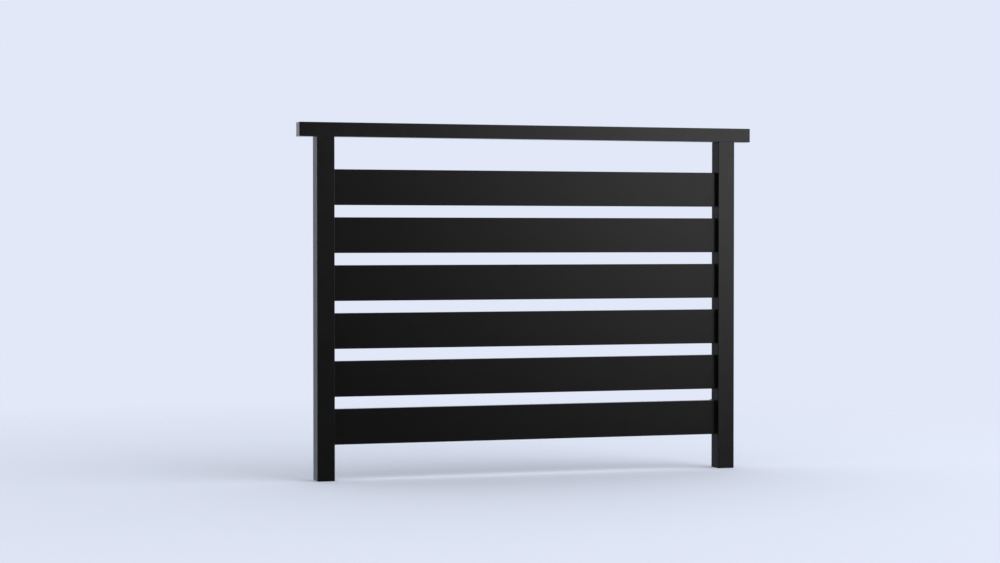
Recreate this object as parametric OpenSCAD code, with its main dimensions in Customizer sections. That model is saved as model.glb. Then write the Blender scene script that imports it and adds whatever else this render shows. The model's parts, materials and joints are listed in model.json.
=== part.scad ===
// Juliet balcony: a guard of six wide horizontal slats between two square posts,
// under a flat handrail, held off the wall by four concealed brackets.
// Millimetres. X runs along the wall, -Y faces the street, +Y the wall, Z is up.
// The origin lies on the wall face of the upper left wall plate, at its centre.

/* [Frame] */
// Width over the outer faces of the two posts
frame_w = 1260; // [700:5:2400]
// Open height between the handrail and the top slat
rail_gap = 90; // [50:5:200]
// Length of the posts below the lowest slat
foot_h = 100; // [40:0.5:200]
// Clear distance from the backs of the posts to the wall
standoff = 36; // [30:1:80]
// Radius of the long outer edges of every tube
edge_r = 1; // [0.5:0.5:3]

/* [Posts] */
// Width and depth of a square post
post_w = 50; // [45:1:80]
// Wall thickness of a post
post_wall = 3; // [2:0.5:5]

/* [Handrail] */
// Height of the handrail
rail_h = 40; // [30:1:60]
// Depth of the handrail from front to back
rail_d = 40; // [30:1:50]
// Wall thickness of the handrail
rail_wall = 2.5; // [1.5:0.5:4]
// Length of handrail that passes each post
rail_over = 50; // [25:5:150]
// Diameter of the screw holes through its underside
rail_screw_d = 6.6; // [5:0.1:9]
// Distance between the two screws over a post
rail_screw_pitch = 22; // [16:1:26]

/* [Slats] */
// Height of a slat
slat_h = 100; // [70:1:140]
// Depth of a slat from front to back
slat_d = 18; // [16:1:35]
// Wall thickness of a slat
slat_wall = 2; // [1.5:0.5:3]
// Thickness of the web inside a slat, halfway up
slat_web = 1.6; // [1:0.2:3]
// Open gap between two slats
slat_gap = 34; // [10:0.5:90]

/* [Slat holders] */
// Thickness of the flange between a slat's end and the post
holder_flange = 1.5; // [1:0.5:4]
// Thickness of a holder's floor behind the flange
holder_floor = 3.5; // [2:0.5:6]
// Wall thickness of a holder's spigot
holder_wall = 2; // [1:0.5:3.5]
// Reach of the spigot into the slat
spigot_l = 25; // [15:1:60]
// Diameter of the holder's screw holes
holder_screw_d = 4.5; // [3.5:0.1:5.5]
// Diameter of their countersinks
holder_sink_d = 8.6; // [7:0.1:9.6]
// Diameter of the pilot holes in the posts
pilot_d = 3.4; // [2.5:0.1:4.2]

/* [Caps and plugs] */
// Thickness of the outer plate of a handrail cap
rail_cap_t = 2.5; // [1.5:0.5:5]
// Thickness of the outer plate of a post foot
foot_t = 3; // [2:0.5:8]
// Thickness of the plate between a post and the handrail
head_t = 2; // [1:0.5:6]
// Depth of a post head inside its post
head_l = 20; // [12:1:40]
// Width of the bar that holds the screws across a post head
head_bar_w = 14; // [10:1:20]
// Diameter of the tapped holes in a post head
head_tap_d = 5; // [4:0.1:8]
// Chamfer round the outer plates of the caps and feet
cap_chamfer = 0.8; // [0.2:0.1:1.4]
// Depth of the other plugs inside their tubes
plug_l = 18; // [10:1:40]
// Wall thickness of a plug
plug_wall = 2.5; // [1.5:0.5:4]
// Clearance on each side of what slides into a tube
plug_clear = 0.3; // [0.1:0.05:0.6]

/* [Wall brackets] */
// Width of a wall plate
plate_w = 32; // [30:1:48]
// Height of a wall plate
plate_h = 96; // [90:1:130]
// Thickness of a wall plate
plate_t = 6; // [4:0.5:10]
// Radius of its four corners
plate_r = 3; // [1:0.5:8]
// Distance between the two wall fixings of a plate
fixing_pitch = 70; // [56:1:78]
// Diameter of the wall fixing holes
fixing_d = 9; // [6.5:0.5:11]
// Width of the square stub on a wall plate
stub_w = 20; // [18:1:24]
// Size of the chamfers round the stub's tip
stub_chamfer = 1.5; // [0.5:0.5:3]
// Free space between the stub's tip and the socket's floor
stub_tip_gap = 2; // [0.5:0.5:5]
// Clearance on each side of the stub in its socket
stub_clear = 0.25; // [0.1:0.05:0.5]
// Wall thickness of a socket
socket_wall = 4.75; // [3:0.25:6]
// Thickness of a socket's floor, against the post
socket_floor = 5; // [4:0.5:8]
// Diameter of the bolt hole through that floor
socket_bolt_d = 8.5; // [6:0.5:9]
// Diameter of its countersink
socket_sink_d = 16.4; // [12:0.1:17]
// Diameter of the rivet nut's hole in the post's back wall
post_nut_d = 11; // [9:0.5:12]
// Diameter of the tapped hole for the locking screw
lock_d = 5; // [4:0.5:6]
// Diameter of the locking screw's seat in the stub
lock_seat_d = 6; // [4:0.5:8]
// Depth of that seat
lock_seat_depth = 1.5; // [0.5:0.5:3]

/* [Hidden] */
$fn = 48;
slat_count = 6;
min_r = 0.5;
through = 1;

post_pitch = frame_w - post_w;
clear_w = frame_w - 2 * post_w;
slat_pitch = slat_h + slat_gap;
post_y = -standoff - post_w / 2;
rail_y = -standoff - post_w + rail_d / 2;
rail_bottom = slat_h / 2 + rail_gap;
frame_bottom = -(slat_count - 1) * slat_pitch - slat_h / 2 - foot_h;
post_bottom = frame_bottom + foot_t;
post_l = rail_bottom - head_t - post_bottom;
rail_l = frame_w + 2 * rail_over;
rail_tube_l = rail_l - 2 * rail_cap_t;
rail_left = -post_w / 2 - rail_over;
slat_l = clear_w - 2 * holder_flange;
lower_z = -(slat_count - 1) * slat_pitch;

post_plug_w = post_w - 2 * (post_wall + plug_clear);
rail_plug_d = rail_d - 2 * (rail_wall + plug_clear);
rail_plug_h = rail_h - 2 * (rail_wall + plug_clear);
spigot_d = slat_d - 2 * (slat_wall + plug_clear);
spigot_h = (slat_h - slat_web) / 2 - slat_wall - 2 * plug_clear;
spigot_z = (slat_web + spigot_h) / 2 + plug_clear;
holder_base = holder_flange + holder_floor;

socket_w = stub_w + 2 * (stub_clear + socket_wall);
socket_l = standoff - plate_t;
stub_l = socket_l - socket_floor - stub_tip_gap;
lock_y = -plate_t - stub_l / 2;

coat = [0.09, 0.09, 0.095];
plastic = [0.05, 0.05, 0.05];

// Height of the centre of a slat, counted from the top one
function slat_z(number) = -(number - 1) * slat_pitch;

// ---- Outlines ----

// Rectangle about the origin with rounded corners
module rounded(w, h, r) {
    square([w - 2 * r, h], center = true);
    square([w, h - 2 * r], center = true);
    for (x = [-1, 1], y = [-1, 1])
        translate([x * (w / 2 - r), y * (h / 2 - r)])
            circle(r);
}

// Section of a box tube with rounded long edges
module tube_section(w, h, wall, r) {
    difference() {
        rounded(w, h, r);
        rounded(w - 2 * wall, h - 2 * wall, max(r - wall, min_r));
    }
}

// Plate of thickness t on the XY plane, chamfered round its low side
module end_plate(w, h, t) {
    intersection() {
        linear_extrude(t)
            rounded(w, h, edge_r);
        translate([0, h / 2, 0])
            rotate([90, 0, 0])
                linear_extrude(h)
                    chamfered_edge(w, t);
        translate([-w / 2, 0, 0])
            along_x(w)
                chamfered_edge(h, t);
    }
}

// Side view of an end plate, with its chamfered side low
module chamfered_edge(w, t) {
    half = w / 2;
    polygon([
        [cap_chamfer - half, 0], [half - cap_chamfer, 0], [half, cap_chamfer],
        [half, t], [-half, t], [-half, cap_chamfer]
    ]);
}

// ---- Placing and cutting ----

// Extrudes a section drawn in Y and Z along +X
module along_x(length) {
    rotate([90, 0, 90])
        linear_extrude(length)
            children();
}

// Extrudes a section drawn in X and Z along +Y
module along_y(length) {
    translate([0, length, 0])
        rotate([90, 0, 0])
            linear_extrude(length)
                children();
}

// Turns a piece of the left side into its twin on the right
module right_side() {
    translate([post_pitch, 0, 0])
        mirror([1, 0, 0])
            children();
}

// Hole through a thickness t above the XY plane, countersunk at its far side
module countersunk_hole(d, sink_d, t) {
    sink = (sink_d - d) / 2;
    translate([0, 0, -through])
        cylinder(d = d, h = t + 2 * through);
    translate([0, 0, t - sink])
        cylinder(d1 = d, d2 = sink_d, h = sink);
}

// ---- Handrail ----

// Box tube flush with the fronts of both posts, screwed down on them from inside
module handrail() {
    color(coat)
        difference() {
            translate([rail_left + rail_cap_t, rail_y, rail_bottom + rail_h / 2])
                along_x(rail_tube_l)
                    tube_section(rail_d, rail_h, rail_wall, edge_r);
            for (x = [0, post_pitch], side = [-1, 1])
                translate([x + side * rail_screw_pitch / 2, rail_y, rail_bottom - through])
                    cylinder(d = rail_screw_d, h = rail_wall + 2 * through);
        }
}

// Closed end of the handrail, with a hollow plug inside the tube
module handrail_cap() {
    color(plastic)
        translate([rail_left, rail_y, rail_bottom + rail_h / 2]) {
            rotate([0, 90, 0])
                end_plate(rail_h, rail_d, rail_cap_t);
            translate([rail_cap_t, 0, 0])
                along_x(plug_l)
                    tube_section(rail_plug_d, rail_plug_h, plug_wall, edge_r);
        }
}

// ---- Posts ----

// Box tube with pilot holes for the slat holders and rivet nut holes for the sockets
module post() {
    color(coat)
        difference() {
            translate([0, post_y, post_bottom])
                linear_extrude(post_l)
                    tube_section(post_w, post_w, post_wall, edge_r);
            for (number = [1:slat_count])
                holder_screws(slat_z(number), pilot_d);
            for (z = [0, lower_z])
                translate([0, -standoff + through, z])
                    rotate([90, 0, 0])
                        cylinder(d = post_nut_d, h = post_wall + 2 * through);
        }
}

// The two screw holes of one slat, through the post's inner wall
module holder_screws(z, d) {
    for (side = [-1, 1])
        translate([post_w / 2 - post_wall - through, post_y, z + side * spigot_z])
            rotate([0, 90, 0])
                cylinder(d = d, h = post_wall + 2 * through);
}

// Plug in the top of a post, with a bar under the handrail tapped for its two screws
module post_head() {
    color(coat)
        translate([0, post_y, rail_bottom - head_t])
            difference() {
                union() {
                    linear_extrude(head_t)
                        rounded(post_w, post_w, edge_r);
                    translate([0, 0, -head_l])
                        linear_extrude(head_l)
                            union() {
                                tube_section(post_plug_w, post_plug_w, plug_wall, edge_r);
                                translate([0, rail_y - post_y])
                                    square([post_plug_w - plug_wall, head_bar_w], center = true);
                            }
                }
                for (side = [-1, 1])
                    translate([side * rail_screw_pitch / 2, rail_y - post_y, -head_l - through])
                        cylinder(d = head_tap_d, h = head_l + head_t + 2 * through);
            }
}

// Closed foot of a post, with a ribbed plug inside the tube
module post_foot() {
    color(plastic)
        translate([0, post_y, frame_bottom]) {
            end_plate(post_w, post_w, foot_t);
            translate([0, 0, foot_t])
                linear_extrude(plug_l)
                    union() {
                        tube_section(post_plug_w, post_plug_w, plug_wall, edge_r);
                        square([post_plug_w - plug_wall, plug_wall], center = true);
                        square([plug_wall, post_plug_w - plug_wall], center = true);
                    }
        }
}

// ---- Slats ----

// Wide box tube with a web along its middle, centred in the depth of the posts
module slat(number) {
    color(coat)
        translate([post_w / 2 + holder_flange, post_y, slat_z(number)])
            along_x(slat_l) {
                tube_section(slat_d, slat_h, slat_wall, edge_r);
                square([slat_d - slat_wall, slat_web], center = true);
            }
}

// Flange on the post's inner face with a spigot for each chamber of a slat's end
module slat_holder(number) {
    color(plastic)
        translate([post_w / 2, post_y, slat_z(number)])
            difference() {
                union() {
                    along_x(holder_flange)
                        rounded(slat_d, slat_h, edge_r);
                    for (side = [-1, 1])
                        translate([0, 0, side * spigot_z])
                            spigot();
                }
                for (side = [-1, 1])
                    translate([0, 0, side * spigot_z])
                        rotate([0, 90, 0])
                            countersunk_hole(holder_screw_d, holder_sink_d, holder_base);
            }
}

// Hollow plug with a floor, which fills one chamber of a slat
module spigot() {
    along_x(holder_base)
        rounded(spigot_d, spigot_h, edge_r);
    along_x(holder_flange + spigot_l)
        tube_section(spigot_d, spigot_h, holder_wall, edge_r);
}

// ---- Wall brackets ----

// Square cup bolted to the back of a post, open towards the wall
module socket(z) {
    color(coat)
        difference() {
            translate([0, -standoff, z])
                along_y(socket_l)
                    rounded(socket_w, socket_w, edge_r);
            translate([0, -standoff + socket_floor, z])
                along_y(socket_l)
                    square(stub_w + 2 * stub_clear, center = true);
            translate([0, -standoff, z])
                rotate([-90, 0, 0])
                    countersunk_hole(socket_bolt_d, socket_sink_d, socket_floor);
            translate([-socket_w / 2 - through, lock_y, z])
                rotate([0, 90, 0])
                    cylinder(d = lock_d, h = socket_wall + 2 * through);
        }
}

// Plate screwed to the wall, with the stub that a socket slides over
module wall_plate(z) {
    color(coat)
        difference() {
            union() {
                translate([0, -plate_t, z])
                    along_y(plate_t)
                        rounded(plate_w, plate_h, plate_r);
                translate([0, -plate_t, z])
                    stub();
            }
            for (side = [-1, 1])
                translate([0, through, z + side * fixing_pitch / 2])
                    rotate([90, 0, 0])
                        cylinder(d = fixing_d, h = plate_t + 2 * through);
            translate([-stub_w / 2 - through, lock_y, z])
                rotate([0, 90, 0])
                    cylinder(d = lock_seat_d, h = lock_seat_depth + through);
        }
}

// Square bar along -Y, chamfered round its tip
module stub() {
    intersection() {
        translate([0, 0, -stub_w / 2])
            linear_extrude(stub_w)
                stub_outline();
        rotate([0, 90, 0])
            translate([0, 0, -stub_w / 2])
                linear_extrude(stub_w)
                    stub_outline();
    }
}

// Side view of the stub, with its tip at the low end
module stub_outline() {
    half = stub_w / 2;
    polygon([
        [-half, 0], [-half, stub_chamfer - stub_l], [stub_chamfer - half, -stub_l],
        [half - stub_chamfer, -stub_l], [half, stub_chamfer - stub_l], [half, 0]
    ]);
}

handrail();
handrail_cap();  // handrail_cap_left
right_side() handrail_cap();  // handrail_cap_right
post();  // post_left
right_side() post();  // post_right
post_head();  // post_head_left
right_side() post_head();  // post_head_right
post_foot();  // post_foot_left
right_side() post_foot();  // post_foot_right
slat(1);  // slat_1
slat(2);  // slat_2
slat(3);  // slat_3
slat(4);  // slat_4
slat(5);  // slat_5
slat(6);  // slat_6
slat_holder(1);  // slat_holder_1_left
slat_holder(2);  // slat_holder_2_left
slat_holder(3);  // slat_holder_3_left
slat_holder(4);  // slat_holder_4_left
slat_holder(5);  // slat_holder_5_left
slat_holder(6);  // slat_holder_6_left
right_side() slat_holder(1);  // slat_holder_1_right
right_side() slat_holder(2);  // slat_holder_2_right
right_side() slat_holder(3);  // slat_holder_3_right
right_side() slat_holder(4);  // slat_holder_4_right
right_side() slat_holder(5);  // slat_holder_5_right
right_side() slat_holder(6);  // slat_holder_6_right
socket(0);  // socket_upper_left
socket(lower_z);  // socket_lower_left
right_side() socket(0);  // socket_upper_right
right_side() socket(lower_z);  // socket_lower_right
wall_plate(0);  // wall_plate_upper_left
wall_plate(lower_z);  // wall_plate_lower_left
right_side() wall_plate(0);  // wall_plate_upper_right
right_side() wall_plate(lower_z);  // wall_plate_lower_right
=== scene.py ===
"""Looks of the juliet balcony: its finishes, the fasteners that show, the studio and the camera.

Everything is in metres, in the frame of the CAD model: X runs along the wall, -Y faces the street,
Z is up, and the origin lies on the wall face of the upper left wall plate.
"""
import itertools
import json
import math

import bmesh
import bpy
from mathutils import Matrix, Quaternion, Vector


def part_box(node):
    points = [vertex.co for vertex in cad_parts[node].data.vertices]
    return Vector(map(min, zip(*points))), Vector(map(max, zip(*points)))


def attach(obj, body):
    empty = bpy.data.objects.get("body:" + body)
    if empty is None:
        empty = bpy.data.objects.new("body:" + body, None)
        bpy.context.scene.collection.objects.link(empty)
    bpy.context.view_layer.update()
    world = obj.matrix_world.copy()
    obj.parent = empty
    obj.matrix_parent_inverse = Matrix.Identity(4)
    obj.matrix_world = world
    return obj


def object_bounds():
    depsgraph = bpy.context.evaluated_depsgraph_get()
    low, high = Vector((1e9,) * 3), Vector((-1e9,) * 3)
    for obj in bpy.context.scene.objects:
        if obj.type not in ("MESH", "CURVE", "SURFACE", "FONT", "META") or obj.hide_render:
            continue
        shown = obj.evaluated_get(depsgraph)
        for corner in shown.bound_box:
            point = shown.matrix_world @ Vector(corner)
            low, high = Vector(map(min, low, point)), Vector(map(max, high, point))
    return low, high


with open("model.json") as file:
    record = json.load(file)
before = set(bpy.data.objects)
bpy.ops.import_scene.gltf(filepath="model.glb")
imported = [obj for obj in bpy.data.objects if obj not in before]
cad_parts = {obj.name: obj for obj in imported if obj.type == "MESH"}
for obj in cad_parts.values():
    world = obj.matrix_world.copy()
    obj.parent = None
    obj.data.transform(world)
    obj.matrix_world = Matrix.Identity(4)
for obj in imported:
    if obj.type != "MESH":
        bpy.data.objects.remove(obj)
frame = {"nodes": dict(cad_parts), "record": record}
cad_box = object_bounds()
low, high = Vector(cad_box[0]), Vector(cad_box[1])
centre = (low + high) / 2

MM = 0.001

# ---- Camera, in metres from the balcony and degrees from straight on ----
CAMERA_LEFT = 2.152               # left of the balcony's middle
CAMERA_AWAY = 6.261               # in front of the posts
CAMERA_DROP = 0.322               # below the top of the handrail
CAMERA_YAW = 18.18                # turned to the right
CAMERA_PITCH = -1.077             # turned up from level
CAMERA_SENSOR = 36.0              # its width, in millimetres
CAMERA_LENS = 83.3                # in millimetres

# ---- Studio ----
PALE = (0.76, 0.807, 0.939)       # background and floor
FLOOR_FADE = (1.0, 3.2)           # radii between which the floor melts into the background
FLOOR_SEGMENTS = 96
KEY_AZIMUTH = 56.7                # degrees to the right of straight on
KEY_ELEVATION = 24                # degrees above level
KEY_AWAY = 9                      # from the balcony's middle
KEY_SIZE = (14.1, 8.85)           # width and height
KEY_POWER = 730                   # watts

# ---- Light of the room, by the X, Y and Z of a direction ----
ROOM_TINT = (0.75, 0.76, 0.76)    # on rough surfaces
ROOM_LIGHT = 1.15                 # strength overhead and behind the balcony
ROOM_RANGE = (-0.25, 0.85)        # from no light to full strength, of the sum of the next two
ROOM_RISE = 2.0                   # weight of Z squared
ROOM_DEPTH = 0.8                  # weight of Y
FILL_LIGHT = 0.35                 # strength from the left
FILL_RANGE = (0.14, -0.6)         # of X, from no fill to full fill
WINDOW_EDGE = (-0.295, -0.265)    # of X, from the dark window to the room beside it
WINDOW_ARCH = 1.5                 # how far Z squared moves that edge to the left
WINDOW_LEAN = 0.3                 # how far Z does

# ---- Finishes ----
JET_BLACK = (0.0031, 0.0031, 0.0031)
STEEL_DARK = (0.42, 0.41, 0.40)
STEEL_LIGHT = (0.58, 0.57, 0.55)

# ---- Fasteners, in millimetres ----
PLATE_T = 6                       # thickness of a wall plate
WALL_FIXINGS = 70                 # between the two bolts of a plate
WALL_BOLT_D = 8
WALL_BOLT_PITCH = 1.25
WALL_BOLT_L = 7.4                 # of its shank, which ends just short of the wall face
THREAD_DEPTH = 0.75
BOLT_HEAD_ACROSS = 13
BOLT_HEAD_H = 5.3
BOLT_FACE_D = 12.35               # of the round faces of its head, inside the chamfers
BOLT_CHAMFER = 30                 # degrees
WASHER_D = 16
WASHER_BORE = 8.4
WASHER_T = 1.6
WASHER_EDGE = 0.25                # chamfer
LOCK_SCREW_D = 4.9
LOCK_SCREW_L = 5.9
LOCK_SCREW_ACROSS = 3
LOCK_SCREW_SINK = 0.6             # below the socket's side

# ---- Turned meshes ----
TURN_STEPS = 48
SHARP_FROM = 28                   # degrees between two faces, from which their edge stays sharp
SPIN_STEP = 2.4                   # radians by which each fastener is turned past the last


# ================================================================ materials

def principled(name):
    """New material, as its node tree, its shader and itself."""
    material = bpy.data.materials.new(name)
    material.use_nodes = True
    return material.node_tree, material.node_tree.nodes["Principled BSDF"], material


def noise(tree, size, detail):
    """Grey noise in the object's own space, with patches about size metres across."""
    coords = tree.nodes.new("ShaderNodeTexCoord")
    node = tree.nodes.new("ShaderNodeTexNoise")
    node.inputs["Scale"].default_value = 1 / size
    node.inputs["Detail"].default_value = detail
    tree.links.new(coords.outputs["Object"], node.inputs["Vector"])
    return node.outputs["Fac"]


def remap(tree, value, source, target):
    """Moves a value from the range source to the range target, and clamps it there."""
    node = tree.nodes.new("ShaderNodeMapRange")
    node.inputs["From Min"].default_value, node.inputs["From Max"].default_value = source
    node.inputs["To Min"].default_value, node.inputs["To Max"].default_value = target
    tree.links.new(value, node.inputs["Value"])
    return node.outputs["Result"]


def vary_colour(tree, shader, factor, dark, light):
    """Blends the base colour from dark to light, by a factor from 0 to 1."""
    node = tree.nodes.new("ShaderNodeMix")
    node.data_type = "RGBA"
    node.inputs["A"].default_value = (*dark, 1)
    node.inputs["B"].default_value = (*light, 1)
    tree.links.new(factor, node.inputs["Factor"])
    tree.links.new(node.outputs["Result"], shader.inputs["Base Color"])


def vary_roughness(tree, shader, factor, middle, gloss):
    """Spreads the factor's middle range over the lowest and highest roughness in gloss."""
    tree.links.new(remap(tree, factor, middle, gloss), shader.inputs["Roughness"])


def emboss(tree, shader, height, depth):
    """Bumps the surface by a height from 0 to 1, which stands for depth metres."""
    node = tree.nodes.new("ShaderNodeBump")
    node.inputs["Distance"].default_value = depth
    tree.links.new(height, node.inputs["Height"])
    tree.links.new(node.outputs["Normal"], shader.inputs["Normal"])


def black_finish(name, lift, gloss, grain, specular=0.5):
    """Black coat or plastic. lift is how much lighter its palest patches are, gloss its lowest and
    highest roughness, and grain the size and height of the bumps in its surface."""
    tree, shader, material = principled(name)
    shader.inputs["Specular IOR Level"].default_value = specular
    palest = [channel * (1 + lift) for channel in JET_BLACK]
    vary_colour(tree, shader, noise(tree, size=0.09, detail=3), JET_BLACK, palest)
    vary_roughness(tree, shader, noise(tree, size=0.035, detail=4), (0.25, 0.75), gloss)
    size, height = grain
    emboss(tree, shader, noise(tree, size, detail=2), height)
    return material


def stainless_steel():
    """Bright steel of the fasteners, with the fine rings that turning leaves."""
    tree, shader, material = principled("stainless_steel")
    shader.inputs["Metallic"].default_value = 1.0
    vary_colour(tree, shader, noise(tree, size=0.004, detail=4), STEEL_DARK, STEEL_LIGHT)
    vary_roughness(tree, shader, noise(tree, size=0.001, detail=5), (0.3, 0.7), (0.24, 0.40))
    coords = tree.nodes.new("ShaderNodeTexCoord")
    rings = tree.nodes.new("ShaderNodeTexWave")
    rings.wave_type = "RINGS"
    rings.rings_direction = "Z"
    rings.inputs["Scale"].default_value = 900
    rings.inputs["Distortion"].default_value = 1.5
    tree.links.new(coords.outputs["Object"], rings.inputs["Vector"])
    emboss(tree, shader, rings.outputs["Fac"], depth=0.000008)
    return material


def dress_nodes():
    """Gives every CAD node the finish of its material slot, and the slats a copy of the powder coat
    with a weaker specular reflection, which renders them darker than the posts.
    """
    coat = {"lift": 0.25, "gloss": (0.275, 0.305), "grain": (0.0012, 0.00002)}
    bracket = {"lift": 0.35, "gloss": (0.32, 0.38), "grain": (0.0010, 0.000025)}
    plastic = {"lift": 0.45, "grain": (0.0005, 0.000012)}
    finishes = {
        "powder_coat": black_finish("powder_coat", **coat),
        "wall_brackets": black_finish("bracket_coat", **bracket),
        "end_caps": black_finish("cap_plastic", gloss=(0.16, 0.22), **plastic),
        "slat_holders": black_finish("holder_plastic", gloss=(0.40, 0.46), **plastic),
    }
    # the posts' coat with specular 0.4 instead of 0.5, so the slats render darker than the posts
    slat_coat = black_finish("slat_coat", specular=0.4, **coat)
    for part in frame["record"]["subparts"]:
        node, slot = part["node"], part["material_slot"]
        is_slat = node.startswith("slat_") and slot == "powder_coat"
        slots = frame["nodes"][node].data.materials
        slots.clear()
        slots.append(slat_coat if is_slat else finishes[slot])


# ================================================================ fasteners

def hexagon(across):
    """Radius of a hexagon, given its width across flats, as a function of the angle."""
    def radius(angle):
        return across / 2 / math.cos((angle + math.pi / 6) % (math.pi / 3) - math.pi / 6)
    return radius


def turned(name, outline, ring=False):
    """Closed mesh round Z. outline(angle) lists (radius, height) in millimetres, from one end to
    the other, or round the section of a ring."""
    mesh = bmesh.new()
    lines = []
    for step in range(TURN_STEPS):
        angle = 2 * math.pi * step / TURN_STEPS
        lines.append([
            mesh.verts.new((r * MM * math.cos(angle), r * MM * math.sin(angle), z * MM))
            for r, z in outline(angle)
        ])
    for line, beside in zip(lines, lines[1:] + lines[:1]):
        for here in range(len(line) - (0 if ring else 1)):
            above = (here + 1) % len(line)
            mesh.faces.new((line[here], beside[here], beside[above], line[above]))
    if not ring:
        mesh.faces.new([line[0] for line in reversed(lines)])
        mesh.faces.new([line[-1] for line in lines])
    data = bpy.data.meshes.new(name)
    mesh.to_mesh(data)
    mesh.free()
    data.polygons.foreach_set("use_smooth", [True] * len(data.polygons))
    data.set_sharp_from_angle(angle=math.radians(SHARP_FROM))
    return data


def hex_bolt():
    """Hexagon bolt: its head sits on Z = 0, and its threaded shank goes down from there."""
    side = hexagon(BOLT_HEAD_ACROSS)
    face = BOLT_FACE_D / 2
    crest, root = WALL_BOLT_D / 2, WALL_BOLT_D / 2 - THREAD_DEPTH
    threads = int(WALL_BOLT_L / WALL_BOLT_PITCH)
    collar = 0.1
    dish, dish_floor, dish_middle = 0.8 * face, BOLT_HEAD_H - 0.15, 0.5

    def outline(angle):
        points = [(root, -WALL_BOLT_L)]
        for number in range(threads):
            foot = -WALL_BOLT_L + number * WALL_BOLT_PITCH
            points += [(crest, foot + 0.5 * WALL_BOLT_PITCH), (root, foot + WALL_BOLT_PITCH)]
        points += [(crest, -collar), (crest, 0), (face, 0)]
        slope = (side(angle) - face) * math.tan(math.radians(BOLT_CHAMFER))
        points += [(side(angle), 0.3 * slope), (side(angle), BOLT_HEAD_H - slope)]
        points += [(face, BOLT_HEAD_H), (dish, dish_floor), (dish_middle, dish_floor)]
        return points
    return turned("wall_bolt", outline)


def washer():
    """Flat washer on Z = 0."""
    bore, rim, flat = WASHER_BORE / 2, WASHER_D / 2, WASHER_D / 2 - WASHER_EDGE

    def outline(angle):
        return [(bore, 0), (flat, 0), (rim, WASHER_EDGE), (rim, WASHER_T - WASHER_EDGE),
                (flat, WASHER_T), (bore, WASHER_T)]
    return turned("washer", outline, ring=True)


def locking_screw():
    """Headless screw with a hexagon socket, from its point at Z = 0."""
    body, key = LOCK_SCREW_D / 2, hexagon(LOCK_SCREW_ACROSS)
    tip, cone = 0.4 * body, 0.6 * body
    rim, lip = 0.4, 0.15
    floor = 0.5 * LOCK_SCREW_L
    drill_tip, drill_floor = 0.2, floor - 0.7

    def outline(angle):
        return [(tip, 0), (body, cone), (body, LOCK_SCREW_L - rim), (body - rim, LOCK_SCREW_L),
                (key(angle) + lip, LOCK_SCREW_L), (key(angle), LOCK_SCREW_L - lip),
                (key(angle), floor), (drill_tip, drill_floor)]
    return turned("locking_screw", outline)


def place(name, data, point, way, spin):
    """Puts a turned mesh at a point, with its Z along way, and lets it ride with the balcony."""
    piece = bpy.data.objects.new(name, data)
    turn = Vector(way).to_track_quat("Z", "Y") @ Quaternion((0, 0, 1), spin)
    piece.location = point
    piece.rotation_euler = turn.to_euler()
    bpy.context.scene.collection.objects.link(piece)
    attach(piece, "root")


def fit_fasteners():
    """Two bolts with washers on every wall plate, and a locking screw in every socket."""
    bolt, ring, lock = hex_bolt(), washer(), locking_screw()
    steel = stainless_steel()
    for data in (bolt, ring, lock):
        data.materials.append(steel)
    spins = itertools.count(1, SPIN_STEP)
    for corner in ("upper_left", "upper_right", "lower_left", "lower_right"):
        fit_wall_bolts(corner, bolt, ring, spins)
        fit_locking_screw(corner, lock, next(spins))


def fit_wall_bolts(corner, bolt, ring, spins):
    """Sets two washers on the front of a wall plate, over its holes, and a bolt on each."""
    plate_low, plate_high = (Vector(point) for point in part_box("wall_plate_" + corner))
    street = Vector((0, -1, 0))
    middle = (plate_low + plate_high) / 2
    front = Vector((middle.x, plate_high.y, middle.z)) + street * PLATE_T * MM
    for end, side in (("top", 1), ("bottom", -1)):
        hole = front + Vector((0, 0, side * WALL_FIXINGS / 2 * MM))
        spin = next(spins)
        place(f"washer_{corner}_{end}", ring, hole, street, spin)
        place(f"wall_bolt_{corner}_{end}", bolt, hole + street * WASHER_T * MM, street, spin)


def fit_locking_screw(corner, lock, spin):
    """Sinks the screw into the outer side of a socket, halfway along the stub inside it."""
    plate_low, plate_high = (Vector(point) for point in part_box("wall_plate_" + corner))
    socket_low, socket_high = (Vector(point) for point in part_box("socket_" + corner))
    point = (plate_low + plate_high) / 2
    point.y -= PLATE_T / 2 * MM
    depth = (LOCK_SCREW_SINK + LOCK_SCREW_L) * MM
    outward = -1 if corner.endswith("left") else 1
    point.x = socket_low.x + depth if outward < 0 else socket_high.x - depth
    place(f"locking_screw_{corner}", lock, point, (outward, 0, 0), spin)


# ================================================================ studio

def pale_floor():
    """Pale round floor under the posts, which melts into the background."""
    mesh = bmesh.new()
    bmesh.ops.create_circle(mesh, cap_ends=True, radius=FLOOR_FADE[1], segments=FLOOR_SEGMENTS)
    data = bpy.data.meshes.new("floor")
    mesh.to_mesh(data)
    mesh.free()
    floor = bpy.data.objects.new("floor", data)
    floor.location = (centre.x, centre.y, low.z)
    floor.visible_glossy = False
    bpy.context.scene.collection.objects.link(floor)

    tree, shader, material = principled("pale_floor")
    data.materials.append(material)
    shader.inputs["Base Color"].default_value = (*PALE, 1)
    shader.inputs["Roughness"].default_value = 0.9
    shader.inputs["Specular IOR Level"].default_value = 0.1
    coords = tree.nodes.new("ShaderNodeTexCoord")
    radius = tree.nodes.new("ShaderNodeVectorMath")
    radius.operation = "LENGTH"
    tree.links.new(coords.outputs["Object"], radius.inputs[0])
    clear = tree.nodes.new("ShaderNodeBsdfTransparent")
    mix = tree.nodes.new("ShaderNodeMixShader")
    tree.links.new(remap(tree, radius.outputs["Value"], FLOOR_FADE, (0, 1)), mix.inputs[0])
    tree.links.new(shader.outputs[0], mix.inputs[1])
    tree.links.new(clear.outputs[0], mix.inputs[2])
    tree.links.new(mix.outputs[0], tree.nodes["Material Output"].inputs["Surface"])


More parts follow.
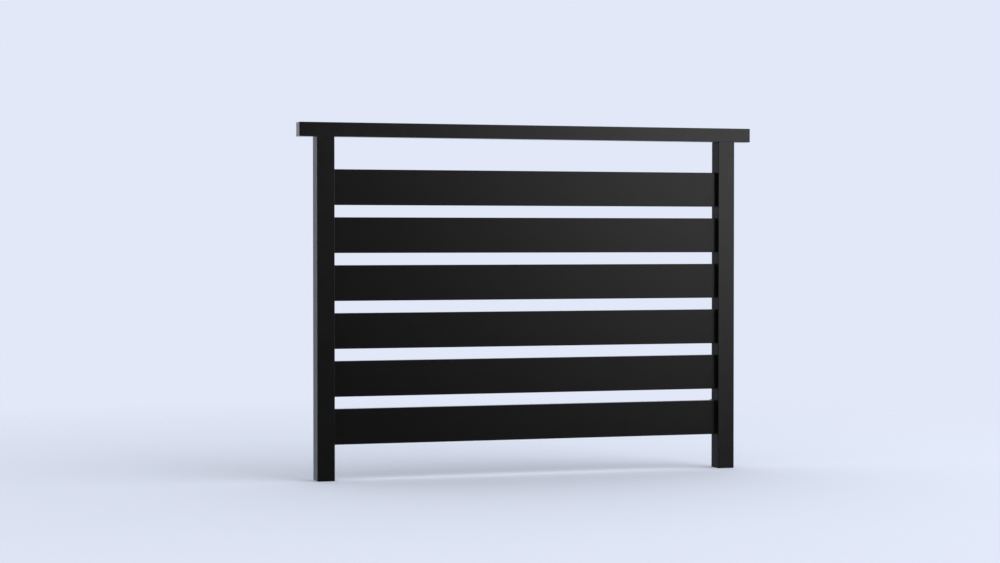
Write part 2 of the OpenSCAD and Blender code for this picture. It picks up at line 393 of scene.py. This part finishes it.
def maths(tree, operation, first, second):
    """Math node on a socket and either a number or another socket."""
    node = tree.nodes.new("ShaderNodeMath")
    node.operation = operation
    tree.links.new(first, node.inputs[0])
    if isinstance(second, float):
        node.inputs[1].default_value = second
    else:
        tree.links.new(second, node.inputs[1])
    return node.outputs[0]


def room_light(tree):
    """Strength of the room's light by direction: bright overhead and behind the balcony, a soft
    fill from the left, and gloom low in front. Returns it as it is, and with a dark window cut out
    low behind the balcony, on the left."""
    coords = tree.nodes.new("ShaderNodeTexCoord")
    parts = tree.nodes.new("ShaderNodeSeparateXYZ")
    tree.links.new(coords.outputs["Generated"], parts.inputs[0])
    right, back, up = parts.outputs

    steep = maths(tree, "MULTIPLY", up, up)
    rise = maths(tree, "MULTIPLY", steep, ROOM_RISE)
    depth = maths(tree, "MULTIPLY", back, ROOM_DEPTH)
    room = remap(tree, maths(tree, "ADD", rise, depth), ROOM_RANGE, (0, ROOM_LIGHT))
    fill = remap(tree, right, FILL_RANGE, (0, FILL_LIGHT))
    light = maths(tree, "MAXIMUM", room, fill)

    arch = maths(tree, "MULTIPLY", steep, WINDOW_ARCH)
    lean = maths(tree, "MULTIPLY", up, WINDOW_LEAN)
    in_front = maths(tree, "MINIMUM", back, 0.0)
    across = maths(tree, "SUBTRACT", right, in_front)
    across = maths(tree, "ADD", across, maths(tree, "ADD", arch, lean))
    beside_window = remap(tree, across, WINDOW_EDGE, (0, 1))
    return light, maths(tree, "MULTIPLY", light, beside_window)


def studio_world():
    """Room light on rough surfaces, and a pale backdrop for the camera and for mirrors. Only the
    camera sees the backdrop at its full strength: mirrors see it as bright as the room."""
    world = bpy.data.worlds.new("studio")
    world.use_nodes = True
    bpy.context.scene.world = world
    tree = world.node_tree
    light, mirrored = room_light(tree)
    ray = tree.nodes.new("ShaderNodeLightPath")
    room = tree.nodes["Background"]
    room.inputs["Color"].default_value = (*ROOM_TINT, 1)
    tree.links.new(light, room.inputs["Strength"])
    backdrop = tree.nodes.new("ShaderNodeBackground")
    backdrop.inputs["Color"].default_value = (*PALE, 1)
    strength = tree.nodes.new("ShaderNodeMix")
    strength.inputs["B"].default_value = 1
    tree.links.new(ray.outputs["Is Camera Ray"], strength.inputs["Factor"])
    tree.links.new(mirrored, strength.inputs["A"])
    tree.links.new(strength.outputs["Result"], backdrop.inputs["Strength"])
    mirrors = maths(tree, "MAXIMUM", ray.outputs["Is Glossy Ray"], ray.outputs["Is Transmission Ray"])
    mix = tree.nodes.new("ShaderNodeMixShader")
    tree.links.new(maths(tree, "MAXIMUM", ray.outputs["Is Camera Ray"], mirrors), mix.inputs[0])
    tree.links.new(room.outputs[0], mix.inputs[1])
    tree.links.new(backdrop.outputs[0], mix.inputs[2])
    tree.links.new(mix.outputs[0], tree.nodes["World Output"].inputs["Surface"])


def key_lamp():
    """Wide soft box that faces the balcony's middle from the right."""
    data = bpy.data.lights.new("key", "AREA")
    data.shape = "RECTANGLE"
    data.size, data.size_y = KEY_SIZE
    data.energy = KEY_POWER
    lamp = bpy.data.objects.new("key", data)
    lamp.visible_camera = False
    turn, rise = math.radians(KEY_AZIMUTH), math.radians(KEY_ELEVATION)
    way = Vector((math.sin(turn) * math.cos(rise), -math.cos(turn) * math.cos(rise), math.sin(rise)))
    lamp.location = centre + way * KEY_AWAY
    lamp.rotation_euler = way.to_track_quat("Z", "Y").to_euler()
    bpy.context.scene.collection.objects.link(lamp)


def photo_camera():
    """Camera low on the left, in front of the balcony."""
    data = bpy.data.cameras.new("camera")
    data.sensor_width = CAMERA_SENSOR
    data.lens = CAMERA_LENS
    view = bpy.data.objects.new("camera", data)
    view.location = (centre.x - CAMERA_LEFT, low.y - CAMERA_AWAY, high.z - CAMERA_DROP)
    view.rotation_euler = (math.radians(90 + CAMERA_PITCH), 0, math.radians(-CAMERA_YAW))
    bpy.context.scene.collection.objects.link(view)
    bpy.context.scene.camera = view


dress_nodes()
fit_fasteners()
pale_floor()
studio_world()
key_lamp()
photo_camera()
bpy.context.scene.view_settings.view_transform = "Standard"
